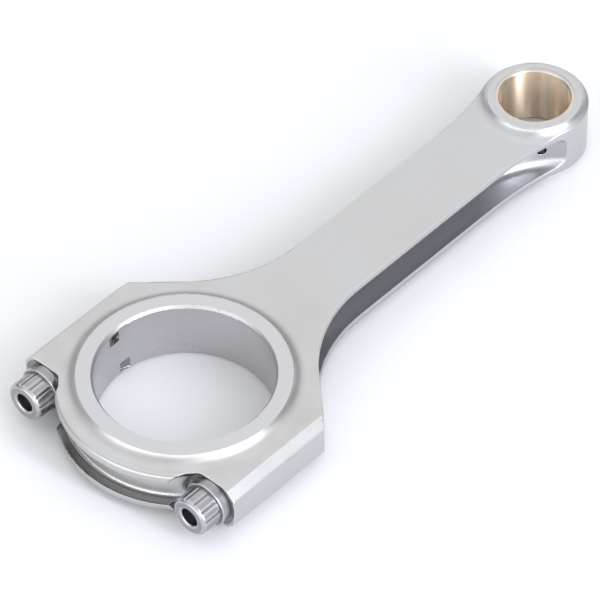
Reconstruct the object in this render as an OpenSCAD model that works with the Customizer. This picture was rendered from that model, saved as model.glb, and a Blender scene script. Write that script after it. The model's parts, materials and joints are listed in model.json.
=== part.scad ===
// Connecting rod with an H-section beam, for a small four-stroke engine.
//
// The origin is the centre of the big-end bore on the rod's middle plane.
// +X runs to the small end and +Z along both bores. All sizes are millimetres.
// The cap meets the rod at x = 0. Left is the +Y side and right the -Y side.

/* [Overall] */
// Distance between the big-end and small-end bore centres
centre_distance = 149.3; // [145:0.1:156]
// Width over the thrust faces, along the bores
rod_width = 19.6; // [19:0.1:21]

/* [Big end] */
// Diameter of the big-end housing bore, which holds the bearing shells
housing_d = 51; // [50:0.1:51.4]
// Diameter of the big-end thrust face
thrust_d = 60.2; // [59:0.1:61]
// Thickness over the flats of the shoulders, beam and cap, along the bores
flat_thickness = 14.6; // [14:0.1:15.4]
// Width over the shoulders, across the rod
shoulder_width = 80; // [78:0.5:82]
// Angle of the shoulders' back faces to the rod's centre line
shoulder_angle = 46.5; // [44:0.5:49]
// Length of the shoulders' straight sides, from the parting line
shoulder_length = 14; // [12:0.5:15]
// Distance between the cap screw axes
screw_spacing = 63.4; // [63:0.1:64.5]
// Distance from the parting line to the front of the cap's lugs
lug_length = 22.8; // [22.6:0.1:23.4]
// Outer radius of the cap's round back
cap_r = 36.8; // [36:0.1:38]
// Width of the groove round the cap's back
cap_groove_width = 9; // [8:0.1:9.6]
// Radius of the floor of that groove
cap_groove_r = 33.1; // [32.5:0.1:34]

/* [Beam] */
// Width of the beam's flats
beam_width = 23.8; // [23:0.1:25]
// Height of the channels in the beam's sides
channel_height = 10.8; // [9:0.1:11.4]
// Thickness of the web between the channels
web_thickness = 4.6; // [4:0.1:6]

/* [Small end] */
// Diameter of the wrist pin's bore in the bush
pin_d = 21; // [20:0.1:21.5]
// Outside diameter of the bush
bush_d = 23.5; // [23.2:0.1:24]
// Diameter of the small end's flat face
small_face_d = 27; // [26.5:0.1:28]
// Outside diameter of the small end
small_end_d = 31.7; // [31:0.1:33]
// Diameter of the two oil holes
oil_hole_d = 2.9; // [2.4:0.1:3.4]

/* [Cap screws] */
// Outside diameter of the screws' thread
thread_d = 9.52; // [9:0.02:9.52]
// Pitch of the thread
thread_pitch = 1.06; // [1:0.02:1.25]
// Diameter of the flange under the screw's head
flange_d = 14; // [13:0.1:15]
// Size across the flats of the twelve-point head
drive_size = 11.1; // [10.8:0.1:11.4]
// Outside diameter of the dowel sleeves round the screws
sleeve_d = 10.7; // [10.6:0.02:10.8]

/* [Hidden] */
$fn = 96;
left = 1;
right = -1;
arc_steps = 12;
past = 1;                                  // how far a cutter runs past a face
reach = 60;                                // larger than half the big end

// Faces along the bores, as distances from the middle plane
face_z = rod_width / 2;
flat_z = flat_thickness / 2;

// Big end
housing_r = housing_d / 2;
housing_chamfer = 0.9;
thrust_r = thrust_d / 2;
face_fillet_r = 4.8;                       // from the raised faces down to the flats
shoulder_y = shoulder_width / 2;
bevel_width = 2.5;                         // bevel along the shoulders' sides
bevel_z = 4.55;                            // where that bevel starts
screw_y = screw_spacing / 2;
screw_seat_depth = 0.3;
screw_seat_x = lug_length - screw_seat_depth;
screw_seat_r = 8.1;
groove_end_y = screw_y - 8.2;              // where the groove stops, short of the lugs
cap_round = 1.3;                           // rounding of the cap's outer edges
tang_width = 3.7;
tang_depth = 1.3;
tang_length = 6.6;
tang_z = 6.6;                              // middle of each tang notch

// Beam
beam_y = beam_width / 2;
flare_r = 43.5;                            // from the shoulders into the beam
neck_r = 110;                              // from the beam into the small end
neck_overlap = 0.1;                        // how far the neck runs into the small end
channel_start_r = 22;
channel_start_x = 52;
channel_end_r = 37;
channel_end_x = 118;

// Small end
small_r = small_end_d / 2;
small_face_r = small_face_d / 2;
pin_chamfer = 0.4;
bush_inset = 0.1;
oil_angle = 129.4;                         // from +X to each oil hole
bush_oil_step = 0.15;                      // how much smaller the holes are in the bush

// Fasteners
thread_clearance = 0.09;
tapped_r = thread_d / 2 + thread_clearance;
tapped_depth = 14.5;
screw_tip_x = 13.5;
thread_start_x = 0.4;
thread_height = 0.6;
neck_screw_r = 4.15;
flange_thickness = 3;
head_length = 6.7;
head_corner_r = 6.05;
socket_r = 2.9;
socket_depth = 4.5;
sleeve_r = sleeve_d / 2;
sleeve_reach = 5;                          // into the rod and into the cap
sleeve_slip = 0.05;

// ---------------------------------------------------------------- outlines

function arc(centre, r, from, to, steps = arc_steps) =
    [for (i = [0 : steps])
        let (a = from + (to - from) * i / steps)
        centre + r * [cos(a), sin(a)]];

function mirrored(points) = [for (i = [len(points) - 1 : -1 : 0]) [points[i].x, -points[i].y]];

// The left side of the rod's outline: shoulder, flare, beam and neck.
function side_outline() =
    let (flare_x = shoulder_length + (shoulder_y - beam_y) / tan(shoulder_angle)
                   + flare_r * tan(shoulder_angle / 2),
         neck_y = beam_y + neck_r,
         meet_r = small_r - neck_overlap,
         neck_x = centre_distance - sqrt(pow(neck_r + meet_r, 2) - pow(neck_y, 2)),
         neck_angle = atan2(neck_y, centre_distance - neck_x))
    concat(
        [[0, shoulder_y], [shoulder_length, shoulder_y]],
        arc([flare_x, beam_y + flare_r], flare_r, 270 - shoulder_angle, 270),
        arc([neck_x, neck_y], neck_r, 270, 360 - neck_angle),
        [[centre_distance, small_r / 2]]);

// The rod's outline as a thick plate, which the flats and raised faces cut.
module rod_plate() {
    linear_extrude(2 * face_z, center = true)
        polygon(concat(side_outline(), mirrored(side_outline())));
    translate([centre_distance, 0, 0]) cylinder(h = 2 * face_z, r = small_r, center = true);
}

// A raised round face with a concave fillet down to the flat round it.
module raised_face(r) {
    drop = face_fillet_r - (face_z - flat_z);
    foot_r = r + sqrt(pow(face_fillet_r, 2) - pow(drop, 2));
    start = 180 + asin(drop / face_fillet_r);
    curve = arc([foot_r, flat_z + face_fillet_r], face_fillet_r, start, 262, 6);
    upper = concat([[0, face_z]], curve, [[foot_r + 0.6, flat_z - 0.12], [foot_r + 0.6, 0]]);
    lower = [for (i = [len(upper) - 2 : -1 : 0]) [upper[i].x, -upper[i].y]];
    rotate_extrude() polygon(concat(upper, lower));
}

// A round hole along Z through the rod's width, chamfered at both faces.
module chamfered_bore(r, half_length, chamfer) {
    rotate_extrude() polygon([
        [0, -half_length - past],
        [r + chamfer + past, -half_length - past],
        [r, -half_length + chamfer],
        [r, half_length - chamfer],
        [r + chamfer + past, half_length + past],
        [0, half_length + past]
    ]);
}

// Keeps what it cuts to the shoulders' bevelled cross-section.
module shoulder_section(from, to) {
    slope = bevel_width / (flat_z - bevel_z);
    top = face_z + past;
    top_y = shoulder_y - slope * (top - bevel_z);
    translate([from, 0, 0]) rotate([90, 0, 90]) linear_extrude(to - from) polygon([
        [-shoulder_y, -bevel_z], [-top_y, -top], [top_y, -top], [shoulder_y, -bevel_z],
        [shoulder_y, bevel_z], [top_y, top], [-top_y, top], [-shoulder_y, bevel_z]
    ]);
}

// A round solid along X, on one screw's axis, from x = from to x = to.
module on_screw_axis(side, r, from, to, end_r = undef) {
    translate([from, side * screw_y, 0]) rotate([0, 90, 0])
        cylinder(h = to - from, r1 = r, r2 = is_undef(end_r) ? r : end_r);
}

// The notch that keeps one bearing shell from turning. It starts at the
// parting line, at the bore's left side: end is 1 in the rod, -1 in the cap.
module tang_notch(end) {
    translate([0, 0, -end * tang_z])
        linear_extrude(tang_width, center = true)
            polygon([
                [-end * past, housing_r - 2],
                [-end * past, housing_r + tang_depth],
                [0, housing_r + tang_depth],
                [end * tang_length, housing_r - tang_depth],
                [end * tang_length, housing_r - 2]
            ]);
}

// ---------------------------------------------------------------- the rod

// One of the two channels that give the beam its H-section. Its floor curves
// out to the shoulder at one end and to the small end's side at the other.
module channel(side) {
    floor_y = web_thickness / 2;
    start = arc([channel_start_x, floor_y + channel_start_r], channel_start_r, 180, 270);
    end = arc([channel_end_x, floor_y + channel_end_r], channel_end_r, 270, 335);
    edge = concat([[start[0].x, reach]], start, end, [[end[arc_steps].x, reach]]);
    linear_extrude(channel_height, center = true)
        polygon([for (p = edge) [p.x, side * p.y]]);
}

// One slanting oil hole, from the small end's centre out into a channel.
module oil_hole(side, r) {
    rotate([0, 90, side * oil_angle]) cylinder(h = small_r + 10, r = r, $fn = 32);
}

module rod_body() {
    color("silver") difference() {
        intersection() {
            rod_plate();
            shoulder_section(0, centre_distance + small_r + past);
            union() {
                translate([-past, -reach, -flat_z])
                    cube([centre_distance + small_r + 2 * past, 2 * reach, 2 * flat_z]);
                raised_face(thrust_r);
                translate([centre_distance, 0, 0]) raised_face(small_face_r);
            }
        }
        chamfered_bore(housing_r, face_z, housing_chamfer);
        translate([centre_distance, 0, 0]) {
            cylinder(h = 2 * reach, r = bush_d / 2, center = true);
            oil_hole(left, oil_hole_d / 2);
            oil_hole(right, oil_hole_d / 2);
        }
        tang_notch(1);
        for (side = [left, right]) {
            channel(side);
            on_screw_axis(side, sleeve_r + sleeve_slip, -past, sleeve_reach + 0.2);
            on_screw_axis(side, tapped_r, 0, tapped_depth);
            on_screw_axis(side, tapped_r, tapped_depth, tapped_depth + 2.8, 0);
        }
    }
}

// The bronze bush pressed into the small end, drilled through for oil.
module pin_bush() {
    half = face_z - bush_inset;
    color("tan") translate([centre_distance, 0, 0]) difference() {
        cylinder(h = 2 * half, r = bush_d / 2, center = true);
        chamfered_bore(pin_d / 2, half, pin_chamfer);
        oil_hole(left, oil_hole_d / 2 - bush_oil_step);
        oil_hole(right, oil_hole_d / 2 - bush_oil_step);
    }
}

// ---------------------------------------------------------------- the cap

// The cap's round back, with its outer edges rounded.
module cap_back() {
    edge = arc([cap_r - cap_round, flat_z - cap_round], cap_round, 0, 90, 4);
    rotate_extrude()
        polygon(concat([[0, -flat_z]], [for (i = [4 : -1 : 0]) [edge[i].x, -edge[i].y]],
                       edge, [[0, flat_z]]));
}

// The groove round the cap's back, which leaves a rail along each edge.
module cap_groove() {
    intersection() {
        difference() {
            cylinder(h = cap_groove_width, r = cap_r + past, center = true);
            cylinder(h = cap_groove_width + past, r = cap_groove_r, center = true);
        }
        translate([-reach, -groove_end_y, -reach]) cube([reach, 2 * groove_end_y, 2 * reach]);
    }
}

// The seat milled for one screw's flange, wider where it runs out.
module screw_seat(side) {
    translate([-screw_seat_x, side * screw_y, 0]) rotate([0, -90, 0])
        rotate_extrude() polygon([
            [0, 0], [screw_seat_r, 0], [screw_seat_r + 0.5, 0.5], [screw_seat_r + 2.2, 3.2],
            [screw_seat_r + 2.9, 5.3], [screw_seat_r + 3.3, 20], [0, 20]
        ]);
}

module rod_cap() {
    color("silver") difference() {
        union() {
            intersection() {
                shoulder_section(-lug_length, 0);
                cube([2 * lug_length, 2 * reach, 2 * flat_z], center = true);
            }
            intersection() {
                union() {
                    cap_back();
                    raised_face(thrust_r);
                }
                translate([-reach, -reach, -reach]) cube([reach, 2 * reach, 2 * reach]);
            }
        }
        chamfered_bore(housing_r, face_z, housing_chamfer);
        cap_groove();
        tang_notch(-1);
        for (side = [left, right]) {
            screw_seat(side);
            on_screw_axis(side, tapped_r, -screw_seat_x - past, 0);
            on_screw_axis(side, sleeve_r, -sleeve_reach, past);
        }
    }
}

// ---------------------------------------------------------------- fasteners

module dowel_sleeve(side) {
    edge = 0.2;
    inner_r = tapped_r;
    color("gray") translate([0, side * screw_y, 0]) rotate([0, 90, 0])
        rotate_extrude() polygon([
            [inner_r, -sleeve_reach], [sleeve_r - edge, -sleeve_reach],
            [sleeve_r, -sleeve_reach + edge], [sleeve_r, sleeve_reach - edge],
            [sleeve_r - edge, sleeve_reach], [inner_r, sleeve_reach]
        ]);
}

// The screw's shank: a plain neck, then the thread as a row of ridges.
module screw_shank() {
    crest_r = thread_d / 2;
    root_r = crest_r - thread_height;
    start = screw_seat_x + thread_start_x;
    ridges = floor((screw_tip_x - thread_start_x) / thread_pitch);
    tip = start + ridges * thread_pitch;
    thread = [for (i = [0 : ridges - 1])
        let (h = start + i * thread_pitch)
        each [[root_r, h + 0.1 * thread_pitch], [crest_r, h + 0.45 * thread_pitch],
              [crest_r, h + 0.6 * thread_pitch], [root_r, h + 0.95 * thread_pitch]]];
    rotate_extrude() polygon(concat(
        [[0, -past], [crest_r, -past], [crest_r, 2.5], [neck_screw_r, 3.2], [neck_screw_r, start]],
        thread,
        [[root_r, tip], [root_r - 0.6, tip + 0.6], [0, tip + 0.6]]));
}

// The head: a round flange, then the twelve points with a blind recess.
module screw_head() {
    hexagon_r = drive_size / 2 / cos(30);
    top = flange_thickness + head_length;
    difference() {
        union() {
            cylinder(h = flange_thickness - 0.4, r = flange_d / 2);
            translate([0, 0, flange_thickness - 0.4])
                cylinder(h = 0.4, r1 = flange_d / 2, r2 = flange_d / 2 - 0.4);
            intersection() {
                for (turn = [0, 30])
                    rotate(turn) translate([0, 0, past]) cylinder(h = top - past, r = hexagon_r, $fn = 6);
                rotate_extrude() polygon([
                    [0, 0.5], [head_corner_r, 0.5], [head_corner_r, top - 0.7],
                    [head_corner_r - 0.6, top + 0.1], [0, top + 0.1]
                ]);
            }
        }
        translate([0, 0, top - socket_depth]) cylinder(h = socket_depth + past, r = socket_r);
        translate([0, 0, top - 0.4]) cylinder(h = 0.8, r1 = socket_r, r2 = socket_r + 0.8);
    }
}

module cap_screw(side) {
    color("dimgray") translate([-screw_seat_x, side * screw_y, 0]) {
        rotate([0, 90, 0]) screw_shank();
        rotate([0, -90, 0]) screw_head();
    }
}

rod_body();
rod_cap();
pin_bush();
dowel_sleeve(left);  // dowel_sleeve_left
dowel_sleeve(right);  // dowel_sleeve_right
cap_screw(left);  // cap_screw_left
cap_screw(right);  // cap_screw_right
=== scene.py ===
"""Connecting rod with an H-section beam: the looks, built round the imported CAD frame.

Each visible metal piece is a distance field: a function that gives, for any point, how
far it is from the piece's surface (negative inside). Fields round and blend edges the way
real machining does, and surface_mesh() turns one into a mesh with sharp edges kept.
Fields work in millimetres, in the CAD frame; meshes are in metres.
"""
import json
import math

import bpy
import numpy as np
from mathutils import Matrix, Vector


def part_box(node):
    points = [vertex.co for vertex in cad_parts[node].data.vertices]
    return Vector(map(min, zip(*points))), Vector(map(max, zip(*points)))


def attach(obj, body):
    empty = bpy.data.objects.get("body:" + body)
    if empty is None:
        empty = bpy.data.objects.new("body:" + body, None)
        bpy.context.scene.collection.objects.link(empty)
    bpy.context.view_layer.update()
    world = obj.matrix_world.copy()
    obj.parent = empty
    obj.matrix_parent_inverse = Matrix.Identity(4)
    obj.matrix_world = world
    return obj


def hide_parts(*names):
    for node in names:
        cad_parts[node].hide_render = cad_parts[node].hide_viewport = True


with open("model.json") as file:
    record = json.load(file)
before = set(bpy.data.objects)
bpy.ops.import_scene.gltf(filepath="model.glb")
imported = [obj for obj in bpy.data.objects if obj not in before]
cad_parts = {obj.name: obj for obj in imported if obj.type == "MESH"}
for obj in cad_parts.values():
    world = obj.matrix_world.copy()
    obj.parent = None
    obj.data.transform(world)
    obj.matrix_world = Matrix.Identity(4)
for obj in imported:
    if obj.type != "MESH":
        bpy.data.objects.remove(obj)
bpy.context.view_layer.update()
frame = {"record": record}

MM = 0.001                                     # a millimetre, in metres

# ------------------------------------------------------------------ sizes, in millimetres


def node_box(node):
    """A CAD node's lowest and highest corners, in millimetres."""
    low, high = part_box(node)
    return np.array(low) / MM, np.array(high) / MM


def mount(name):
    """One mount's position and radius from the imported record, in millimetres."""
    found = next(m for m in frame["record"]["mounts"] if m["name"] == name)
    return np.array(found["pos_m"]) / MM, found["dims"].get("r_mm")


ROD_LOW, ROD_HIGH = node_box("rod_body")
CAP_LOW, CAP_HIGH = node_box("rod_cap")
BUSH_LOW, BUSH_HIGH = node_box("pin_bush")
SLEEVE_LOW, SLEEVE_HIGH = node_box("dowel_sleeve_left")
SCREW_LOW, SCREW_HIGH = node_box("cap_screw_left")
_, HOUSING_R = mount("crankpin_bore")
SMALL_CENTRE, PIN_R = mount("wrist_pin_bore")

# Overall
LENGTH = SMALL_CENTRE[0]                       # between the bores
FACE_Z = ROD_HIGH[2]                           # the thrust faces
FLAT_Z = 7.3                                   # the flats
SHOULDER_Y = ROD_HIGH[1]
EDGE_R = 0.15                                  # the rounding of most edges
PAST = 1.0                                     # how far a tool or a buried end runs on
CHAMFER_SLOPE = 0.8                            # how fast a bore's chamfer widens
DIAGONAL = math.sqrt(0.5)                      # turns a 45 degree chamfer's field into distance

# Big end
SHOULDER_ANGLE = math.radians(46.5)
SHOULDER_LENGTH = 14.0
BEVEL_WIDTH = 2.5
BEVEL_Z = 4.55
BEVEL_EDGE_R = 0.08
THRUST_R = 30.0
FACE_FILLET = 4.8                              # from the raised faces down to the flats
HOUSING_CHAMFER = 0.9
PARTING_GAP = 0.004

# Cap
CAP_R = 36.75
CAP_ROUND = 1.3
GROOVE_Z = 4.5
GROOVE_R = 33.1
GROOVE_CORNER = 1.3
GROOVE_END = 8.2                               # from the screws' axes to the groove's ends
LUG_X = 22.8
LUG_CORNER = 0.3
LUG_EDGE_R = 0.25
SEAT_X = 22.5
SEAT_CORNER = 0.6
SEAT_EDGE_R = 0.3
# Each wall of a seat: its radius, its slope, and the height at which it has that radius
SEAT_CONES = ((8.3, 0.63, 0.0), (10.3, 0.333, 3.2))
SEAT_OUTER = (11.0, 0.027, 5.3)

# Notches for the bearing shells' tangs, which are on the left only
TANG_Z = 6.6
TANG_WIDTH = 3.7
TANG_DEPTH = 1.3
TANG_LENGTH = 6.6
TANG_CORNER = 0.4
TANG_SIDE_Y = 15.0                             # every notch is further out than this
TANG_COSINE = 0.93                             # of the slope of a notch's floor

# Beam
BEAM_Y = 11.9
FLARE_R = 43.5
NECK_R = 110.0
WEB_Y = 2.3
CHANNEL_Z = 5.4
CHANNEL_START_X = 52.0
CHANNEL_START_R = 22.0
CHANNEL_END_X = 118.0
CHANNEL_END_R = 37.0
CHANNEL_CORNER = 3.0
CHANNEL_EDGE_R = 0.25

# Small end
SMALL_R = ROD_HIGH[0] - LENGTH
SMALL_FACE_R = 13.4
BUSH_R = BUSH_HIGH[1]
BUSH_EDGE_R = 0.05
BUSH_CHAMFER = 0.4
OIL_R = 1.45
OIL_STEP = 0.15                                # how much slimmer the holes are in the bush
OIL_EDGE_R = 0.2
OIL_ANGLE = math.radians(129.4)
OIL_DIRECTION = (math.cos(OIL_ANGLE), math.sin(OIL_ANGLE), 0)

# Screw holes and dowel sleeves
SCREW_Y = (SCREW_LOW[1] + SCREW_HIGH[1]) / 2
SCREW_HOLE_R = 4.85                            # in the rod, the cap and the sleeves
TAPPED_DEPTH = 14.5
HOLE_RUN = 9.0                                 # how far past the lugs the cap's holes are cut
SLEEVE_R = (SLEEVE_HIGH[1] - SLEEVE_LOW[1]) / 2
SLEEVE_X = SLEEVE_HIGH[0]
SLEEVE_EDGE_R = 0.25
SLEEVE_PLAY = 0.05
SLEEVE_END_GAP = 0.2

# Screws: the head
FLANGE_R = SCREW_HIGH[2]
FLANGE_T = 3.0
FLANGE_EDGE_R = 0.3
HEAD_TOP = -SEAT_X - SCREW_LOW[0]
HEAD_FILLET = 0.35
HEAD_EDGE_R = 0.15
HEAD_CHAMFER = 0.7
HEAD_CHAMFER_R = 0.2
DRIVE_FLAT = 5.66                              # from the axis to the twelve-point's flats
POINT_R = 6.05
POINT_EDGE_R = 0.1
VALLEY_R = 0.08
RECESS_R = 2.9
RECESS_DEPTH = 4.5
RECESS_CHAMFER = 0.4

# Screws: the shank
COLLAR_END = 3.2
SHANK_R = 4.15                                 # between the collar and the thread
THREAD_R = 4.76
THREAD_HEIGHT = 0.6
THREAD_START = 0.4
THREAD_CREST = 0.07                            # half the crest's width
THREAD_SLOPE = 1.732                           # of a 60 degree thread's flanks
TIP_CHAMFER = 1.2
PITCH = 1.06

# Meshing
FAR = 1e6                                      # the field where only its sign matters
STEEPEST = 1.45                                # the most that a field changes in a millimetre
GRID_SHIFT = 2.37                              # in steps: keeps the grid off flat faces
END_SHARE = 0.02                               # keeps a crossing off the ends of its grid edge
PULL = 0.01                                    # holds a vertex by its crossings' middle
EVEN = 0.93                                    # above this, a cell's normals hold no sharp edge
INWARD = 0.35                                  # from an edge to the place its normal is read
PARTING_BAND = 0.9                             # keeps the parting line's edges unworn and free of painted highlight

# ------------------------------------------------------------------ field operations


def rounded_max(a, b, r):
    """Where both fields are inside, with the edge between them rounded to radius r."""
    if r <= 0:
        return np.maximum(a, b)
    corner = np.hypot(np.maximum(a + r, 0), np.maximum(b + r, 0))
    return np.minimum(np.maximum(a, b), -r) + corner


def rounded_min(a, b, r):
    """Where either field is inside, with a concave fillet of radius r between them."""
    return -rounded_max(-a, -b, r)


def cut(solid, tool, r=0.0):
    """The solid less the tool, with the new edges rounded to radius r."""
    return rounded_max(solid, -tool, r)


def along(p, centre, direction):
    """Each point's distance along a line and its distance from it."""
    direction = np.array(direction, float) / np.linalg.norm(direction)
    d = p - np.array(centre, float)
    height = d @ direction
    return height, np.sqrt(np.maximum((d * d).sum(1) - height * height, 0))


def from_centre(x, y, centre_x, centre_y=0.0):
    """Distance from a point seen along the bores."""
    return np.hypot(x - centre_x, y - centre_y)


# ------------------------------------------------------------------ meshing a field


def gradient(field, p, h=0.01):
    """Unit normals of the field at points p."""
    total = np.zeros_like(p)
    for sx, sy, sz in ((1, -1, -1), (-1, -1, 1), (-1, 1, -1), (1, 1, 1)):
        corner = np.array([sx, sy, sz], float)
        total += corner * field(p + corner * h)[:, None]
    return total / np.maximum(np.linalg.norm(total, axis=1, keepdims=True), 1e-12)


def in_chunks(field, p, size=400_000):
    """The field at many points, worked out in parts to save memory."""
    return np.concatenate([field(p[i:i + size]) for i in range(0, len(p), size)])


def grid_values(field, low, counts, step, block=4):
    """The field on a grid. Blocks of the grid that the surface misses get only a sign."""
    blocks = -(-counts // block)
    centre = [low[k] + step * (block * np.arange(blocks[k]) + (block - 1) / 2) for k in range(3)]
    mesh = np.stack(np.meshgrid(*centre, indexing="ij"), -1).reshape(-1, 3)
    coarse = in_chunks(field, mesh).reshape(blocks)
    margin = STEEPEST * step * (block / 2 + 1) * math.sqrt(3)
    values = np.where(coarse < 0, -FAR, FAR)
    near = np.abs(coarse) < margin
    for axis in range(3):
        values = values.repeat(block, axis)
        near = near.repeat(block, axis)
    index = np.argwhere(near)
    values[near] = in_chunks(field, low + step * index)
    return values


def crossings(field, values, low, step, axis):
    """The grid edges along one axis that the surface cuts: where, and which way it faces."""
    ahead = [slice(None)] * 3
    ahead[axis] = slice(1, None)
    behind = [slice(None)] * 3
    behind[axis] = slice(None, -1)
    inside = values < 0
    index = np.argwhere(inside[tuple(ahead)] != inside[tuple(behind)])
    index = index[(index.min(1) > 0) & (index + 2 < values.shape).all(1)]
    unit = np.eye(3)[axis]
    start_value = values[tuple(index.T)]
    end_value = values[tuple((index + unit.astype(int)).T)]
    start = np.zeros(len(index))
    end = np.ones(len(index))
    outward = start_value < 0
    for _ in range(4):
        t = start + (end - start) * start_value / (start_value - end_value)
        inset = END_SHARE * (end - start)
        t = np.clip(t, start + inset, end - inset)
        p = low + step * (index + t[:, None] * unit)
        value = in_chunks(field, p)
        same = (value < 0) == outward
        start, start_value = np.where(same, t, start), np.where(same, value, start_value)
        end, end_value = np.where(same, end, t), np.where(same, end_value, value)
    return index, p, outward


def cells_round(index, axis):
    """The four cells round each grid edge, in order round the edge."""
    u, v = (np.eye(3, dtype=int)[(axis + k) % 3] for k in (1, 2))
    return np.stack([index, index - u, index - u - v, index - v], 1)


def place_vertices(cell, point, normal, total, step):
    """One vertex per cell, where the planes through its crossings meet, and the length of its
    mean normal, which is 1 where the surface is flat."""
    cell, point = cell.reshape(-1), np.repeat(point, 4, 0)
    normal = np.repeat(normal, 4, 0)

    def summed(weights):
        return np.bincount(cell, weights, total)

    number = summed(np.ones(len(cell)))
    middle = np.stack([summed(point[:, k]) for k in range(3)], 1) / number[:, None]
    offset = ((point - middle[cell]) * normal).sum(1)
    matrix = np.zeros((total, 3, 3))
    for i in range(3):
        for j in range(i, 3):
            matrix[:, i, j] = matrix[:, j, i] = summed(normal[:, i] * normal[:, j])
    right = np.stack([summed(normal[:, k] * offset) for k in range(3)], 1)
    matrix += PULL * number[:, None, None] * np.eye(3)
    move = np.linalg.solve(matrix, right[..., None])[..., 0]
    move[np.abs(move).max(1) > step] = 0
    mean = np.stack([summed(normal[:, k]) for k in range(3)], 1) / number[:, None]
    return middle + move, np.linalg.norm(mean, axis=1)


def all_crossings(field, values, low, step):
    """Every crossing of the surface with the grid: the four cells round it, and where it is."""
    cells, point = [], []
    for axis in range(3):
        at, p, outward = crossings(field, values, low, step, axis)
        ring = cells_round(at, axis)
        ring[~outward] = ring[~outward][:, ::-1]
        cells.append(ring)
        point.append(p)
    return np.concatenate(cells), np.concatenate(point)


def settled(field, vertices, reach):
    """Vertices moved onto the surface, in two moves of no more than the reach."""
    for _ in range(2):
        drop = in_chunks(field, vertices)[:, None] * gradient(field, vertices)
        vertices = vertices - np.clip(drop, -reach, reach)
    return vertices


def corner_normals(field, vertices, faces, smooth):
    """A normal for each face's corners. On a sharp edge it is read a little inside the face."""
    normals = gradient(field, vertices)[faces]
    sharp = ~smooth[faces]
    middle = vertices[faces].mean(1, keepdims=True)
    inside = (1 - INWARD) * vertices[faces] + INWARD * middle
    normals[sharp] = gradient(field, inside[sharp])
    return normals


def surface_mesh(name, field, low, high, step):
    """A mesh object of the field's surface between two corners, with exact normals."""
    low = np.array(low, float) - GRID_SHIFT * step
    counts = np.ceil((np.array(high) - low) / step).astype(int) + 4
    values = grid_values(field, low, counts, step)
    cells, point = all_crossings(field, values, low, step)
    flat = np.ravel_multi_index(tuple(cells.reshape(-1, 3).T), values.shape)
    used, faces = np.unique(flat, return_inverse=True)
    faces = faces.reshape(-1, 4)
    vertices, evenness = place_vertices(faces, point, gradient(field, point), len(used), step)
    smooth = evenness > EVEN
    vertices[smooth] = settled(field, vertices[smooth], step / 2)
    piece = quad_object(name, vertices * MM, faces, corner_normals(field, vertices, faces, smooth))
    # The edge attribute gives pale edges, partly rubbed and partly a painted highlight, and painted
    # shade in corners
    wear_and_painted_light = piece.data.attributes.new("edge", "FLOAT", "POINT")
    wear_and_painted_light.data.foreach_set("value", edge_wear_and_painted_light(field, vertices).astype(np.float32))
    return piece


def edge_wear_and_painted_light(field, p, reach=0.45):
    """How sharply the surface turns round each point: 1 on an edge, -1 in a corner, 0 if flat.
    The edges of the parting line stay sharp, unworn and free of painted highlight. The materials
    use it for pale edges, partly rubbed and partly a painted highlight, and for painted shade in
    corners."""
    total = -6 * in_chunks(field, p)
    for axis in range(3):
        for step in (-reach, reach):
            total += in_chunks(field, p + step * np.eye(3)[axis])
    return np.where(np.abs(p[:, 0]) < PARTING_BAND, 0, np.clip(total / reach, -1, 1))


def quad_object(name, vertices, faces, normals):
    """A mesh object of quads with a normal for every corner."""
    mesh = bpy.data.meshes.new(name)
    mesh.vertices.add(len(vertices))
    mesh.vertices.foreach_set("co", vertices.astype(np.float32).ravel())
    mesh.loops.add(faces.size)
    mesh.loops.foreach_set("vertex_index", faces.astype(np.int32).ravel())
    mesh.polygons.add(len(faces))
    mesh.polygons.foreach_set("loop_start", np.arange(0, faces.size, 4, dtype=np.int32))
    mesh.update(calc_edges=True)
    mesh.polygons.foreach_set("use_smooth", np.ones(len(faces), bool))
    mesh.normals_split_custom_set(normals.reshape(-1, 3).tolist())
    mesh.update()
    piece = bpy.data.objects.new(name, mesh)
    bpy.context.scene.collection.objects.link(piece)
    return piece


# ------------------------------------------------------------------ the rod's fields


def outline_2d(x, y):
    """Distance to the rod's outline seen along the bores; y is the distance off centre."""
    lean = (math.sin(SHOULDER_ANGLE), math.cos(SHOULDER_ANGLE))
    slant = lean[0] * (x - SHOULDER_LENGTH) + lean[1] * (y - SHOULDER_Y)
    flare_x = (SHOULDER_LENGTH + (SHOULDER_Y - BEAM_Y) / math.tan(SHOULDER_ANGLE)
               + FLARE_R * math.tan(SHOULDER_ANGLE / 2))
    flare_y = BEAM_Y + FLARE_R
    neck_y = BEAM_Y + NECK_R
    neck_x = LENGTH - math.sqrt((NECK_R + SMALL_R) ** 2 - neck_y ** 2)
    shoulder = np.maximum(slant, y - SHOULDER_Y)
    before_flare = lean[1] * (x - flare_x) - lean[0] * (y - flare_y) < 0
    before_barrel = (x - LENGTH) * neck_y + y * (LENGTH - neck_x) < 0
    flare = FLARE_R - from_centre(x, y, flare_x, flare_y)
    neck = NECK_R - from_centre(x, y, neck_x, neck_y)
    barrel = from_centre(x, y, LENGTH) - SMALL_R
    field = np.where(x < flare_x, flare, y - BEAM_Y)
    field = np.where(before_flare, shoulder, field)
    return np.where(x > neck_x, np.where(before_barrel, neck, barrel), field)


def channel_2d(x, y):
    """Distance to the outline of a side channel, whose floor curves out at both ends."""
    start = from_centre(x, y, CHANNEL_START_X, WEB_Y + CHANNEL_START_R) - CHANNEL_START_R
    end = from_centre(x, y, CHANNEL_END_X, WEB_Y + CHANNEL_END_R) - CHANNEL_END_R
    return np.where(x < CHANNEL_START_X, start, np.where(x > CHANNEL_END_X, end, WEB_Y - y))


def chamfered_bore(solid, r, z, mouth_r, mouth_z):
    """The solid with a round hole through it, whose mouths have a steep chamfer."""
    chamfer = (mouth_r + CHAMFER_SLOPE * (z - mouth_z) - r) / math.hypot(1, CHAMFER_SLOPE)
    return np.maximum(np.maximum(solid, mouth_r - r), chamfer)


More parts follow.
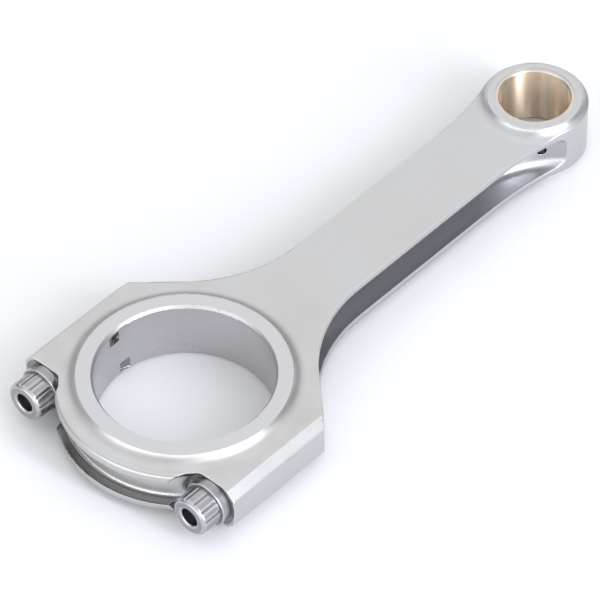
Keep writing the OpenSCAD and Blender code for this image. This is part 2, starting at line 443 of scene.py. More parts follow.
def raised_face(flat, r, z, face_r):
    """The flats with a raised round face on them."""
    ring = rounded_min(flat, r - face_r, FACE_FILLET)
    return rounded_max(ring, z - FACE_Z, EDGE_R)


def bevels(solid, y, z):
    """The solid with the bevels along the shoulders' sides."""
    run = FLAT_Z - BEVEL_Z
    size = math.hypot(run, BEVEL_WIDTH)
    bevel = ((y - SHOULDER_Y) * run + (z - BEVEL_Z) * BEVEL_WIDTH) / size
    return rounded_max(solid, bevel, BEVEL_EDGE_R)


def tang_notch(solid, p, end):
    """The solid with its notch for a bearing shell's tang: end is 1 in the rod, -1 in the cap."""
    x, y = end * p[:, 0], p[:, 1]
    floor = (y - HOUSING_R - TANG_DEPTH + 2 * TANG_DEPTH * x / TANG_LENGTH) * TANG_COSINE
    sides = np.abs(p[:, 2] + end * TANG_Z) - TANG_WIDTH / 2
    ends = np.maximum(TANG_SIDE_Y - y, x - TANG_LENGTH)
    return cut(solid, np.maximum(rounded_max(floor, sides, TANG_CORNER), ends))


def screw_hole(solid, p, r, from_x, to_x):
    """The solid with a round hole along X on both screws' axes."""
    radial = np.hypot(np.abs(p[:, 1]) - SCREW_Y, p[:, 2])
    span = np.maximum(from_x - p[:, 0], p[:, 0] - to_x)
    return cut(solid, np.maximum(radial - r, span))


def oil_holes(solid, p, r):
    """The solid with both slanting oil holes."""
    q = np.stack([p[:, 0] - LENGTH, np.abs(p[:, 1]), p[:, 2]], 1)
    height, radial = along(q, (0, 0, 0), OIL_DIRECTION)
    hole = np.maximum(np.maximum(radial - r, -height), height - SMALL_R - PAST)
    return cut(solid, hole, OIL_EDGE_R)


def rod_body(p):
    """The rod: its beam, its small end and its half of the big end."""
    x, y, z = p[:, 0], np.abs(p[:, 1]), np.abs(p[:, 2])
    r_big = np.hypot(x, y)
    r_small = from_centre(x, y, LENGTH)
    flat = z - FLAT_Z
    big = raised_face(flat, r_big, z, THRUST_R)
    small = raised_face(flat, r_small, z, SMALL_FACE_R)
    body = rounded_max(np.minimum(big, small), outline_2d(x, y), EDGE_R)
    body = bevels(body, y, z)
    channel = rounded_max(channel_2d(x, y), z - CHANNEL_Z, CHANNEL_CORNER)
    body = cut(body, channel, CHANNEL_EDGE_R)
    body = chamfered_bore(body, r_big, z, HOUSING_R, FACE_Z - HOUSING_CHAMFER)
    body = np.maximum(body, BUSH_R - r_small)
    body = oil_holes(body, p, OIL_R)
    body = np.maximum(body, PARTING_GAP - x)
    body = tang_notch(body, p, 1)
    body = screw_hole(body, p, SLEEVE_R + SLEEVE_PLAY, -PAST, SLEEVE_X + SLEEVE_END_GAP)
    return screw_hole(body, p, SCREW_HOLE_R, -PAST, TAPPED_DEPTH)


def screw_seat(height, radial):
    """The seat milled for a screw's flange, which widens in three steps as it runs out."""
    r, slope, start = SEAT_OUTER
    wall = radial - r - slope * (height - start)
    for r, slope, start in SEAT_CONES:
        wall = np.maximum(wall, (radial - r - slope * (height - start)) / math.hypot(1, slope))
    return rounded_max(wall, -height, SEAT_CORNER)


def cap_groove(r, y, z):
    """The groove round the cap's back, which stops short of the screws."""
    floor_and_ends = np.maximum(GROOVE_R - r, y - SCREW_Y + GROOVE_END)
    return rounded_max(floor_and_ends, z - GROOVE_Z, GROOVE_CORNER)


def rod_cap(p):
    """The cap: the other half of the big end, with the screws' seats and the groove."""
    x, y, z = p[:, 0], np.abs(p[:, 1]), np.abs(p[:, 2])
    r = np.hypot(x, y)
    flat = z - FLAT_Z
    lugs = rounded_max(flat, rounded_max(y - SHOULDER_Y, -LUG_X - x, LUG_CORNER), LUG_EDGE_R)
    back = rounded_max(raised_face(flat, r, z, THRUST_R), r - CAP_R, CAP_ROUND)
    body = np.minimum(back, bevels(lugs, y, z))
    body = cut(body, cap_groove(r, y, z), EDGE_R)
    body = cut(body, screw_seat(-SEAT_X - x, np.hypot(y - SCREW_Y, z)), SEAT_EDGE_R)
    body = chamfered_bore(body, r, z, HOUSING_R, FACE_Z - HOUSING_CHAMFER)
    body = np.maximum(body, x + PARTING_GAP)
    body = tang_notch(body, p, -1)
    body = screw_hole(body, p, SCREW_HOLE_R, -LUG_X - HOLE_RUN, PAST)
    return screw_hole(body, p, SLEEVE_R, -SLEEVE_X, PAST)


def pin_bush(p):
    """The bush, about its own axis."""
    z = np.abs(p[:, 2])
    r = np.hypot(p[:, 0], p[:, 1])
    body = rounded_max(r - BUSH_R, z - BUSH_HIGH[2], BUSH_EDGE_R)
    body = chamfered_bore(body, r, z, PIN_R, BUSH_HIGH[2] - BUSH_CHAMFER)
    return oil_holes(body, p + [LENGTH, 0, 0], OIL_R - OIL_STEP)


def hexagon(radial, angle, turn):
    """Distance to a hexagonal bar, turned about its axis."""
    sector = math.pi / 3
    from_flat = np.mod(angle - turn + sector / 2, sector) - sector / 2
    return radial * np.cos(from_flat) - DRIVE_FLAT


def screw_head(height, radial, angle):
    """The head above its seat: a round flange, then twelve points with a recess in the end."""
    thickness = np.abs(height - FLANGE_T / 2) - FLANGE_T / 2
    flange = rounded_max(radial - FLANGE_R, thickness, FLANGE_EDGE_R)
    points = rounded_min(hexagon(radial, angle, 0), hexagon(radial, angle, math.pi / 6), VALLEY_R)
    points = rounded_max(points, radial - POINT_R, POINT_EDGE_R)
    points = rounded_max(points, height - HEAD_TOP, HEAD_EDGE_R)
    chamfer = (radial - POINT_R + HEAD_CHAMFER + height - HEAD_TOP) * DIAGONAL
    points = np.maximum(rounded_max(points, chamfer, HEAD_CHAMFER_R), -height)
    recess = np.maximum(radial - RECESS_R, HEAD_TOP - RECESS_DEPTH - height)
    mouth = (radial - RECESS_R - RECESS_CHAMFER - height + HEAD_TOP) * DIAGONAL
    head = rounded_min(flange, points, HEAD_FILLET)
    return cut(head, np.minimum(recess, mouth), HEAD_EDGE_R)


def screw_thread(depth, radial, angle, start, tip):
    """The thread, which is a true helix, from its start to the chamfered tip."""
    turn = np.mod((depth - start) / PITCH - angle / (2 * math.pi), 1) - 0.5
    flank = (radial - THREAD_R + THREAD_SLOPE * (np.abs(turn) * PITCH - THREAD_CREST)) / 2
    ridge = np.maximum(radial - THREAD_R, flank)
    ridge = np.maximum(ridge, (radial - SHANK_R + start - depth) * DIAGONAL)
    root = np.maximum(radial - THREAD_R + THREAD_HEIGHT, start - depth)
    chamfer = (radial - THREAD_R + TIP_CHAMFER + depth - tip) * DIAGONAL
    return np.maximum(np.minimum(root, ridge), chamfer)


def screw_shank(depth, radial, angle):
    """The shank below its seat: a close-fitting collar, a slimmer neck and the thread."""
    start = SEAT_X + THREAD_START
    tip = SEAT_X + SCREW_HIGH[0]
    slope = (radial - SHANK_R + depth - COLLAR_END) * DIAGONAL
    collar = np.maximum(radial - THREAD_R, slope)
    neck = np.maximum(radial - SHANK_R, depth - start - PAST)
    thread = screw_thread(depth, radial, angle, start, tip)
    shank = np.minimum(np.minimum(collar, neck), thread)
    return np.maximum(np.maximum(shank, depth - tip), -depth - PAST)


def cap_screw(p):
    """A whole cap screw about its own axis, with its seat at x = -SEAT_X."""
    height = -SEAT_X - p[:, 0]
    radial = np.hypot(p[:, 1], p[:, 2])
    angle = np.arctan2(p[:, 2], p[:, 1])
    return np.minimum(screw_head(height, radial, angle), screw_shank(-height, radial, angle))


def dowel_sleeve(p):
    """A hollow dowel about its own axis."""
    radial = np.hypot(p[:, 1], p[:, 2])
    tube = rounded_max(radial - SLEEVE_R, np.abs(p[:, 0]) - SLEEVE_X, SLEEVE_EDGE_R)
    return np.maximum(tube, SCREW_HOLE_R - radial)
# ------------------------------------------------------------------ colours, linear

STEEL = (0.575, 0.575, 0.585)
STEEL_WARM = (0.565, 0.56, 0.55)
# Dark steel for ground streaks and grain, and for the painted shade in the flats' corners
STEEL_DARK = (0.47, 0.47, 0.48)
# Pale edges: partly real rubbing, partly a painted highlight; also the groove floor's painted
# reflection
STEEL_WORN_AND_SHEEN = (0.64, 0.64, 0.655)
# Faint blotches about the big end: partly stains, partly painted shade
STEEL_STAIN_AND_SHADE = (0.50, 0.475, 0.45)
STEEL_TURNED = (0.575, 0.575, 0.59)
# Painted shade: the channels' colour, darker than the flats'
MILLED_SHADED = (0.50, 0.50, 0.515)
MILLED_SHADED_DEEP = (0.45, 0.45, 0.465)
# Painted shade: the groove's, the seats' and the notches' colour, far darker than the flats'
RECESS_SHADE = (0.30, 0.30, 0.295)
RECESS_SHADE_DEEP = (0.27, 0.27, 0.265)
# Painted reflection: the groove floor's colour, paler than the flats'
GROOVE_FLOOR_REFLECTION = (0.71, 0.71, 0.70)
HONED = (0.57, 0.56, 0.575)
HONED_SHADE = (0.48, 0.47, 0.485)
BRONZE = (0.80, 0.66, 0.52)
BRONZE_PALE = (0.92, 0.82, 0.70)
BRONZE_DARK = (0.72, 0.55, 0.38)
BRONZE_RIM = (0.56, 0.545, 0.525)
# Painted shade: the oil holes' walls, near black
OIL_HOLE_SHADE = (0.10, 0.095, 0.09)
SCREW_DARK = (0.31, 0.315, 0.335)
SCREW_TINT = (0.38, 0.37, 0.385)
# Painted shade: the screws' concave corners
SCREW_CORNER_SHADE = (0.16, 0.155, 0.16)
FLOOR = (0.775, 0.78, 0.80)
FLOOR_PALE = (0.78, 0.785, 0.805)
FLOOR_DARK = (0.765, 0.77, 0.79)
LAMP = (0.88, 0.93, 1.0)
ROOM = (0.98, 0.99, 1.0)

# ------------------------------------------------------------------ materials

STAIN_AND_SHADE_X = 0.03                               # metres: the stains and painted shade are full up to here
CLEAN_X = 0.055                                # and gone from here on
QUARTER_TURN = 0.25


def opaque(colour):
    """A node socket as it is, or a colour with full opacity."""
    return colour if isinstance(colour, bpy.types.NodeSocket) else (*colour, 1)


class Nodes:
    """One material's node tree, a metal's at first, with short ways to add and join nodes."""

    def __init__(self, name, colour, roughness):
        self.material = bpy.data.materials.new(name)
        self.material.use_nodes = True
        self.tree = self.material.node_tree
        self.shader = self.tree.nodes["Principled BSDF"]
        self.shader.inputs["Metallic"].default_value = 1.0
        self.shader.inputs["Base Color"].default_value = (*colour, 1)
        self.shader.inputs["Roughness"].default_value = roughness
        self.place = self.add("ShaderNodeTexCoord").outputs["Object"]

    def brush_across_z(self, anisotropy):
        """Spreads highlights along Z on a round wall, as grooves cut round it do."""
        tangent = self.add("ShaderNodeTangent", {"direction_type": "RADIAL", "axis": "Z"})
        self.set(self.shader.inputs["Tangent"], tangent.outputs[0])
        self.shader.inputs["Anisotropic"].default_value = anisotropy
        self.shader.inputs["Anisotropic Rotation"].default_value = QUARTER_TURN

    def add(self, kind, settings=None, **inputs):
        """A new node. The inputs are given by number: i0 is the first."""
        node = self.tree.nodes.new(kind)
        for key, value in (settings or {}).items():
            setattr(node, key, value)
        for key, value in inputs.items():
            self.set(node.inputs[int(key[1:])], value)
        return node

    def set(self, socket, value):
        """Links a socket to an input, or gives the input a value."""
        if isinstance(value, bpy.types.NodeSocket):
            self.tree.links.new(value, socket)
        else:
            socket.default_value = value

    def maths(self, operation, a, b=0.0):
        return self.add("ShaderNodeMath", {"operation": operation}, i0=a, i1=b).outputs[0]

    def noise(self, where, scale, detail=2.0, stretch=(1, 1, 1), turn=0.0):
        """Noise of the given scale per metre, finer along the axes with a larger stretch."""
        spot = self.add("ShaderNodeMapping", None, i0=where, i2=(0, 0, turn), i3=stretch)
        texture = self.add("ShaderNodeTexNoise", None, i0=spot.outputs[0])
        texture.inputs["Scale"].default_value = scale
        texture.inputs["Detail"].default_value = detail
        return texture.outputs[0]

    def remap(self, value, low, high, to_low, to_high):
        """The value with its range from low to high stretched over another range."""
        node = self.add("ShaderNodeMapRange", None,
                        i0=value, i1=low, i2=high, i3=to_low, i4=to_high)
        return node.outputs[0]

    def spread(self, noise, low, high):
        """Noise with its usual range spread from low to high."""
        return self.remap(noise, 0.3, 0.7, low, high)

    def patches(self, noise, most):
        """Noise as patches: from 0 up to most."""
        return self.remap(noise, 0.35, 0.7, 0, most)

    def wear_and_sheen(self, start, full, most):
        """How pale a convex edge is made, partly as rubbing and partly as a painted highlight, from
        0 at start to most at full.
        """
        return self.remap(self.edge(), start, full, 0, most)

    def blend(self, factor, first, second):
        """The first colour, turning into the second as the factor goes from 0 to 1."""
        node = self.add("ShaderNodeMix", {"data_type": "RGBA"}, i0=factor)
        self.set(node.inputs["A"], opaque(first))
        self.set(node.inputs["B"], opaque(second))
        return node.outputs["Result"]

    def bump(self, height, depth, under=None):
        """Relief of the given depth in metres, on top of another bump if there is one."""
        node = self.add("ShaderNodeBump")
        self.set(node.inputs["Height"], height)
        node.inputs["Distance"].default_value = depth
        node.inputs["Strength"].default_value = 1.0
        if under is not None:
            self.set(node.inputs["Normal"], under)
        return node.outputs[0]

    def edge(self):
        """How sharply the surface turns, from edge_wear_and_painted_light()."""
        attribute = self.add("ShaderNodeAttribute", {"attribute_name": "edge"})
        return attribute.outputs["Fac"]

    def axes(self):
        """The place's three coordinates."""
        return self.add("ShaderNodeSeparateXYZ", None, i0=self.place).outputs

    def from_z(self):
        """The distance from the Z axis."""
        x, y, _ = self.axes()
        squares = self.maths("ADD", self.maths("MULTIPLY", x, x), self.maths("MULTIPLY", y, y))
        return self.maths("SQRT", squares)

    def wall_z(self):
        """Coordinates on a round wall about Z: the distance round it, then the height."""
        x, y, z = self.axes()
        around = self.maths("MULTIPLY", self.maths("ARCTAN2", y, x), self.from_z())
        return self.add("ShaderNodeCombineXYZ", None, i0=around, i1=z).outputs[0]

    def finish(self, colour, roughness=None, normal=None):
        """The material, with its varying colour, roughness and relief joined up."""
        for key, value in (("Base Color", colour), ("Roughness", roughness), ("Normal", normal)):
            if value is not None:
                self.set(self.shader.inputs[key], value)
        return self.material


def satin_steel():
    """The flats and sides: ground along the rod, then finely blasted, with painted shade in
    corners, paler edges that are partly rubbed and partly a painted highlight, and faint blotches
    about the big end that are partly stains and partly painted shade."""
    m = Nodes("satin_steel", STEEL, 0.35)
    cloud = m.noise(m.place, scale=38, detail=3)
    streaks = m.noise(m.place, scale=2200, stretch=(0.04, 1, 1))
    grain = m.noise(m.place, scale=2600, detail=3)
    blots = m.noise(m.place, scale=60, detail=3, turn=1.3)
    # Faint blotches about the big end, darker and warmer: partly stains, partly painted shade
    near_big_end = m.remap(m.axes()[0], STAIN_AND_SHADE_X, CLEAN_X, 1, 0)
    stain_and_shade = m.maths("MULTIPLY", m.remap(blots, 0.5, 0.68, 0, 0.6), near_big_end)
    # Painted shade: concave corners darken towards the dark steel
    corner = m.remap(m.edge(), -0.6, -0.1, 0.7, 0)
    colour = m.blend(m.remap(cloud, 0.38, 0.68, 0, 1), STEEL, STEEL_WARM)
    colour = m.blend(m.spread(streaks, 0, 0.14), colour, STEEL_DARK)
    colour = m.blend(m.patches(grain, 0.16), colour, STEEL_DARK)
    colour = m.blend(stain_and_shade, colour, STEEL_STAIN_AND_SHADE)
    colour = m.blend(corner, colour, STEEL_DARK)
    # Pale convex edges: partly real rubbing, partly a painted highlight
    colour = m.blend(m.wear_and_sheen(0.25, 0.9, 0.3), colour, STEEL_WORN_AND_SHEEN)
    rough = m.maths("ADD", m.spread(cloud, 0.33, 0.39), m.spread(grain, -0.03, 0.03))
    return m.finish(colour, rough, m.bump(streaks, 3e-6, m.bump(grain, 6e-6)))


def milled_steel(name, colour, deep=None, roughness=0.24):
    """Milled smooth: the channels, the cap's groove, the seats, the notches and the oil holes.
    The colour varies where there is a second one, deep."""
    m = Nodes(name, colour, roughness)
    cloud = m.noise(m.place, scale=90, detail=3)
    tracks = m.noise(m.place, scale=1500, stretch=(0.08, 0.08, 1))
    tint = None
    if deep is not None:
        tint = m.blend(m.patches(cloud, 1), colour, deep)
        tint = m.blend(m.spread(tracks, 0, 0.3), tint, deep)
    rough = m.spread(cloud, roughness - 0.03, roughness + 0.05)
    return m.finish(tint, rough, m.bump(tracks, 2e-6))


def turned_face():
    """The thrust faces: fine lathe-turned rings under a light grinding."""
    m = Nodes("turned_face", STEEL_TURNED, 0.27)
    outwards = m.add("ShaderNodeCombineXYZ", None, i0=m.from_z()).outputs[0]
    rings = m.noise(outwards, scale=4200)
    cloud = m.noise(m.place, scale=60)
    colour = m.blend(m.patches(rings, 0.4), STEEL_TURNED, STEEL)
    return m.finish(colour, m.spread(cloud, 0.25, 0.32), m.bump(rings, 3e-6))


def honed_wall(name, colour, shade, roughness):
    """A honed bore about Z, with its fine crosshatch."""
    m = Nodes(name, colour, roughness)
    m.brush_across_z(0.6)
    wall = m.wall_z()
    hatch = [m.noise(wall, scale=2400, stretch=(0.03, 1, 1), turn=turn) for turn in (0.5, -0.5)]
    lines = m.maths("ADD", *hatch)
    cloud = m.noise(m.place, scale=70, detail=3)
    tint = m.blend(m.remap(lines, 0.75, 1.25, 0, 0.3), colour, shade)
    rough = m.maths("ADD", m.spread(cloud, roughness - 0.03, roughness + 0.05),
                    m.remap(lines, 0.75, 1.25, -0.02, 0.02))
    return m.finish(tint, rough, m.bump(lines, 1e-6))


def bored_bronze():
    """The bush's bore: turned rings round a bronze wall, with darker smears and pale streaks."""
    m = Nodes("bored_bronze", BRONZE, 0.52)
    m.brush_across_z(1.0)
    wall = m.wall_z()
    rings = m.noise(wall, scale=4200, stretch=(0.02, 1, 1))
    smear = m.noise(wall, scale=160, detail=3, stretch=(1, 0.35, 1))
    streaks = m.noise(wall, scale=330, detail=1, stretch=(1, 0.12, 1))
    colour = m.blend(m.remap(smear, 0.4, 0.75, 0, 0.7), BRONZE, BRONZE_DARK)
    colour = m.blend(m.remap(streaks, 0.5, 0.66, 0, 1), colour, BRONZE_PALE)
    colour = m.blend(m.spread(rings, 0, 0.4), colour, BRONZE_PALE)
    relief = m.bump(streaks, 5e-5, m.bump(rings, 4e-6))
    return m.finish(colour, m.spread(smear, 0.48, 0.56), relief)


def bronze():
    """The bush's rims and outside."""
    m = Nodes("bronze", BRONZE_RIM, 0.3)
    cloud = m.noise(m.place, scale=220, detail=3)
    colour = m.blend(m.patches(cloud, 0.5), BRONZE_RIM, BRONZE)
    return m.finish(colour, m.spread(cloud, 0.26, 0.36), m.bump(m.noise(m.place, scale=3000), 4e-6))


def screw_steel():
    """Heat-treated screw steel: dark and smooth, with painted shade in its corners, and edges
    rubbed bright that are partly real rubbing and partly a painted highlight.
    """
    m = Nodes("screw_steel", SCREW_DARK, 0.26)
    cloud = m.noise(m.place, scale=190, detail=3)
    grain = m.noise(m.place, scale=3200)
    # Pale convex edges: partly real rubbing, partly a painted highlight
    wear_and_painted_light = m.wear_and_sheen(0.2, 0.8, 0.55)
    # Painted shade: concave corners darken almost to black
    corner = m.remap(m.edge(), -0.35, -0.06, 0.85, 0)
    colour = m.blend(m.patches(cloud, 1), SCREW_DARK, SCREW_TINT)
    colour = m.blend(corner, colour, SCREW_CORNER_SHADE)
    colour = m.blend(wear_and_painted_light, colour, STEEL_WORN_AND_SHEEN)
    rough = m.maths("SUBTRACT", m.spread(cloud, 0.24, 0.34), m.maths("MULTIPLY", wear_and_painted_light, 0.1))
    return m.finish(colour, rough, m.bump(grain, 4e-6))


def ground_sleeve():
    """The dowel sleeves: ground round their axis, which is X."""
    m = Nodes("ground_sleeve", STEEL, 0.24)
    rings = m.noise(m.place, scale=3600, stretch=(1, 0.02, 0.02))
    colour = m.blend(m.spread(rings, 0, 1), STEEL, STEEL_DARK)
    return m.finish(colour, m.spread(rings, 0.2, 0.3), m.bump(rings, 3e-6))


# ------------------------------------------------------------------ building

# Where a steel face is, as the number of its material in steels below
ON_SIDES, ON_FACES, IN_BORE, IN_CHANNEL, IN_RECESS, IN_OIL_HOLE, ON_GROOVE_FLOOR = range(7)
# The same for the bush
BUSH_OUTSIDE, BUSH_BORE, BUSH_OIL_HOLE = range(3)

CAP_TO_X = -5.0                                # the cap's groove and seats end before this
CHANNEL_FROM_X = 30.0                          # the rod's channels start beyond this
NEAR = 0.03                                    # how far off a surface its faces' centres may be
NEAR_HOLE = 0.05                               # the same for the narrow holes and notches
NEAR_CUT = 0.06                                # the same for a rounded cut
SIDE_DEPTH = 0.5                               # the groove's sides reach this far into it
MARGIN = 1.0                                   # room round a zone where nothing else is


def in_oil_hole(p):
    """Whether points about the small end's axis are on an oil hole's wall."""
    height, radial = along(p * [1, 0, 1] + np.abs(p) * [0, 1, 0], (0, 0, 0), OIL_DIRECTION)
    outside_bore = height > PIN_R + 0.3
    return (radial < OIL_R + NEAR_HOLE) & outside_bore & (height < SMALL_R)


def steel_zone(p):
    """The material's number for each point of the rod or the cap."""
    x, y, z = p[:, 0], np.abs(p[:, 1]), np.abs(p[:, 2])
    r = np.hypot(x, y)
    in_cap = x < CAP_TO_X
    turned = (z > FACE_Z - NEAR) & (r < THRUST_R + MARGIN)
    honed = (r < HOUSING_R + NEAR) & (z < FACE_Z - HOUSING_CHAMFER + NEAR_HOLE)
    channel = (x > CHANNEL_FROM_X) & (z < CHANNEL_Z + NEAR) & (outline_2d(x, y) < -EDGE_R)
    groove = in_cap & (np.abs(cap_groove(r, y, z)) < NEAR_CUT)
    # The groove's floor takes a paler colour, a painted reflection
    groove_floor = groove & (z < GROOVE_Z - SIDE_DEPTH)
    seat = screw_seat(-SEAT_X - x, np.hypot(y - SCREW_Y, z))
    seat = in_cap & (np.abs(seat) < NEAR_CUT)
    behind_bore = (r > HOUSING_R + NEAR_HOLE) & (r < HOUSING_R + 2 * MARGIN)
    notch = behind_bore & (z < FACE_Z - MARGIN) & (p[:, 1] > TANG_SIDE_Y)
    choices = ((in_oil_hole(p - [LENGTH, 0, 0]), IN_OIL_HOLE), (channel, IN_CHANNEL),
               (groove_floor, ON_GROOVE_FLOOR), (groove | seat | notch, IN_RECESS),
               (honed, IN_BORE), (turned, ON_FACES))
    return chosen(choices, ON_SIDES)


def bush_zone(p):
    """The material's number for each point of the bush."""
    bored = np.hypot(p[:, 0], p[:, 1]) < PIN_R + NEAR
    return chosen(((in_oil_hole(p), BUSH_OIL_HOLE), (bored, BUSH_BORE)), BUSH_OUTSIDE)


def chosen(choices, otherwise):
    """For each point the number of the first choice that holds there."""
    tests, numbers = zip(*choices)
    return np.select(tests, numbers, otherwise).astype(np.int32)


def dress(piece, materials, zone=None):
    """Gives a piece its materials: zone() names the one for each face, by its centre in mm."""
    for material in materials:
        piece.data.materials.append(material)
    if zone is None:
        return
    centre = np.empty(len(piece.data.polygons) * 3)
    piece.data.polygons.foreach_get("center", centre)
    piece.data.polygons.foreach_set("material_index", zone(centre.reshape(-1, 3) / MM))
    piece.data.update()


def twin(piece, name):
    """A copy of a placed piece with its own mesh, off its body."""
    other = piece.copy()
    other.data = piece.data.copy()
    other.name = name
    other.parent = None
    bpy.context.scene.collection.objects.link(other)
    return other


def place(piece, offset, body, node):
    """Puts a piece where it belongs, on its body, in the place of its CAD node."""
    piece.location = Vector(offset) * MM
    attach(piece, body)
    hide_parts(node)


steels = [satin_steel(), turned_face(), honed_wall("honed_bore", HONED, HONED_SHADE, 0.3),
          # Painted shade: the channels, darker than the flats
          milled_steel("milled_channel_shaded", MILLED_SHADED, MILLED_SHADED_DEEP, 0.32),
          # Painted shade: the groove, the seats and the notches, far darker
          milled_steel("milled_groove_shaded", RECESS_SHADE, RECESS_SHADE_DEEP),
          # Painted shade: the oil holes, near black
          milled_steel("oil_hole", OIL_HOLE_SHADE),
          # Painted reflection: the groove's floor, paler than the flats
          milled_steel("groove_floor", GROOVE_FLOOR_REFLECTION, STEEL_WORN_AND_SHEEN, 0.42)]

rod = surface_mesh("rod_body_surface", rod_body, ROD_LOW, ROD_HIGH, 0.5)
dress(rod, steels, steel_zone)
place(rod, (0, 0, 0), "rod", "rod_body")

cap = surface_mesh("rod_cap_surface", rod_cap, CAP_LOW, CAP_HIGH, 0.4)
dress(cap, steels, steel_zone)
place(cap, (0, 0, 0), "cap", "rod_cap")

bush_at = np.array([LENGTH, 0, 0])
bush = surface_mesh("pin_bush_surface", pin_bush, BUSH_LOW - bush_at, BUSH_HIGH - bush_at, 0.3)
# The bush's oil holes share the rod's near-black painted shade
dress(bush, [bronze(), bored_bronze(), steels[IN_OIL_HOLE]], bush_zone)
place(bush, bush_at, "rod", "pin_bush")

screw_at = np.array([0, SCREW_Y, 0])
screw = surface_mesh("cap_screw_left_surface", cap_screw,
                     SCREW_LOW - screw_at, SCREW_HIGH - screw_at, 0.22)
sleeve = surface_mesh("dowel_sleeve_left_surface", dowel_sleeve,
                      SLEEVE_LOW - screw_at, SLEEVE_HIGH - screw_at, 0.25)
dress(screw, [screw_steel()])
dress(sleeve, [ground_sleeve()])
place(screw, screw_at, "screw_left", "cap_screw_left")
place(sleeve, screw_at, "cap", "dowel_sleeve_left")
right_screw = twin(screw, "cap_screw_right_surface")
right_sleeve = twin(sleeve, "dowel_sleeve_right_surface")
place(right_screw, -screw_at, "screw_right", "cap_screw_right")
place(right_sleeve, -screw_at, "cap", "dowel_sleeve_right")

# ------------------------------------------------------------------ stage, light and camera

# The camera, which was fitted to the photo
VIEW_AZIMUTH, VIEW_ELEVATION, VIEW_ROLL = (math.radians(a) for a in (-47.022, 46.443, -0.5665))
VIEW_TARGET = np.array([49.12, 1.449, 0.0])
VIEW_DISTANCE = 1515.4
SENSOR_WIDTH = 36.0
LENS = 319.2204

# Directions out of the rod into the room
UP = (0, 0, 1)
FRONT = (-0.85, -0.52, 0.1)
OVER_FRONT = (-0.155, -0.671, 0.725)
BEYOND = (0.504, 0.470, 0.725)
RIGHT_GAP = (0.848, -0.529, 0.1)
TO_CAMERA = (-0.504, -0.470, 0.725)

LIT = (0.05, 0, 0)                             # metres: the lamps point here, on the beam
FLOOR_SIZE = 6.0                               # metres


def camera():
    """A long lens, from above the cap and the rod's right side."""
    back = np.array([math.sin(VIEW_AZIMUTH) * math.cos(VIEW_ELEVATION),
                     -math.cos(VIEW_AZIMUTH) * math.cos(VIEW_ELEVATION),
                     math.sin(VIEW_ELEVATION)])
    level_right = np.array([math.cos(VIEW_AZIMUTH), math.sin(VIEW_AZIMUTH), 0.0])
    level_up = np.cross(back, level_right)
    right = math.cos(VIEW_ROLL) * level_right + math.sin(VIEW_ROLL) * level_up
    up = -math.sin(VIEW_ROLL) * level_right + math.cos(VIEW_ROLL) * level_up
    data = bpy.data.cameras.new("view")
    data.sensor_width = SENSOR_WIDTH
    data.lens = LENS
    data.clip_start, data.clip_end = 0.05, 20.0
    shot = bpy.data.objects.new("view", data)
    spot = Matrix.Identity(4)
    for row in range(3):
        spot[row][0], spot[row][1], spot[row][2] = right[row], up[row], back[row]
        spot[row][3] = (VIEW_TARGET[row] + VIEW_DISTANCE * back[row]) * MM
    shot.matrix_world = spot
    bpy.context.scene.collection.objects.link(shot)
    bpy.context.scene.camera = shot


class Sky:
    """The world's light, put together from levels that change with direction."""

    def __init__(self, name):
        world = bpy.data.worlds.new(name)
        bpy.context.scene.world = world
        world.use_nodes = True
        self.tree = world.node_tree
        self.direction = self.tree.nodes.new("ShaderNodeTexCoord").outputs["Generated"]

    def joined(self, operation, a, b):
        """Two levels added or multiplied."""
        node = self.tree.nodes.new("ShaderNodeMath")
        node.operation = operation
        self.tree.links.new(a, node.inputs[0])
        self.tree.links.new(b, node.inputs[1])
        return node.outputs[0]

    def level(self, towards, start, end, first, last):
        """A level that goes from first to last as a direction turns towards another, while the
        cosine between them goes from start to end."""
        cosine = self.tree.nodes.new("ShaderNodeVectorMath")
        cosine.operation = "DOT_PRODUCT"
        cosine.inputs[1].default_value = Vector(towards).normalized()
        self.tree.links.new(self.direction, cosine.inputs[0])
        smooth = self.tree.nodes.new("ShaderNodeMapRange")
        smooth.interpolation_type = "SMOOTHSTEP"
        for k, value in enumerate((start, end, first, last)):
            smooth.inputs[k + 1].default_value = value
        self.tree.links.new(cosine.outputs["Value"], smooth.inputs[0])
        return smooth.outputs[0]

    def shine(self, colour, strength):
        """Lights the room with one colour at the given level."""
        background = self.tree.nodes["Background"]
        background.inputs["Color"].default_value = (*colour, 1)
        self.tree.links.new(strength, background.inputs["Strength"])


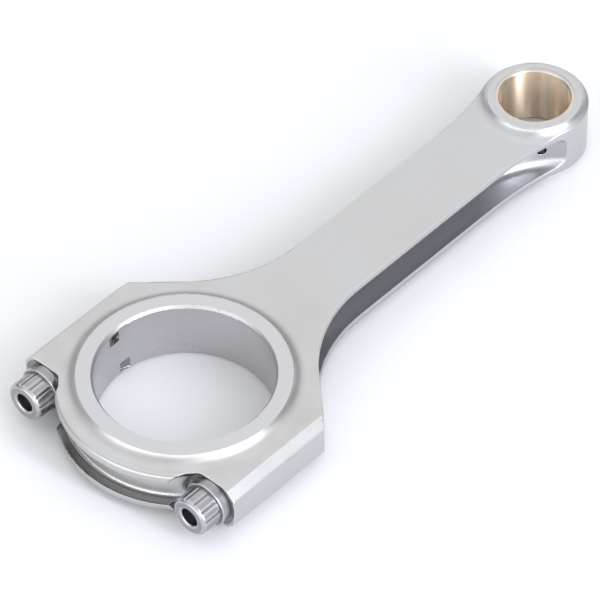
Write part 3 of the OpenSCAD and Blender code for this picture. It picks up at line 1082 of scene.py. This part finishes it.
def studio():
    """A white room, dim at the horizon and brighter overhead. It glows beyond the rod, high in
    front and low in front, has a gap low on the right, and is dimmer round the camera."""
    sky = Sky("studio")
    near_horizon = sky.level(UP, 0.3, 0.6, 1, 0)
    walls = sky.level(UP, 0, 0.65, 0.33, 1.0)
    ceiling = sky.level(UP, 0.75, 0.97, 0, 0.12)
    beyond = sky.level(BEYOND, 0.6, 0.95, 0, 0.18)
    over_front = sky.level(OVER_FRONT, 0.93, 0.985, 0, 1.7)
    front = sky.joined("MULTIPLY", sky.level(FRONT, 0.2, 0.65, 0, 1.9), near_horizon)
    gap = sky.joined("MULTIPLY", sky.level(RIGHT_GAP, 0.75, 0.93, 0, -0.12), near_horizon)
    light = walls
    for part in (ceiling, beyond, over_front, front, gap):
        light = sky.joined("ADD", light, part)
    light = sky.joined("MULTIPLY", light, sky.level(TO_CAMERA, 0.90, 0.98, 1, 0.7))
    sky.shine(ROOM, light)


def soft_box(name, spot, width, height, power):
    """A rectangular lamp that points at the beam."""
    data = bpy.data.lights.new(name, "AREA")
    data.shape = "RECTANGLE"
    data.size, data.size_y, data.energy = width, height, power
    data.color = LAMP
    lamp = bpy.data.objects.new(name, data)
    lamp.location = spot
    lamp.rotation_euler = (Vector(LIT) - Vector(spot)).to_track_quat("-Z", "Y").to_euler()
    bpy.context.scene.collection.objects.link(lamp)


def pale_floor():
    """A plain matt floor that the rod lies on, faintly mottled."""
    bpy.ops.mesh.primitive_plane_add(size=FLOOR_SIZE, location=(LIT[0], 0, -FACE_Z * MM))
    floor = bpy.context.object
    floor.name = "floor"
    m = Nodes("pale_floor", FLOOR, 0.7)
    m.shader.inputs["Metallic"].default_value = 0
    m.shader.inputs["Specular IOR Level"].default_value = 0.2
    mottle = m.noise(m.place, scale=25, detail=4)
    floor.data.materials.append(m.finish(m.blend(m.patches(mottle, 1), FLOOR_PALE, FLOOR_DARK)))


camera()
bpy.context.scene.view_settings.view_transform = "Standard"
studio()
pale_floor()
soft_box("key", (0.21, -1.15, 0.57), 0.55, 0.85, 2.8)
soft_box("strip", (0.115, -1.10, 0.55), 0.12, 0.8, 6.0)
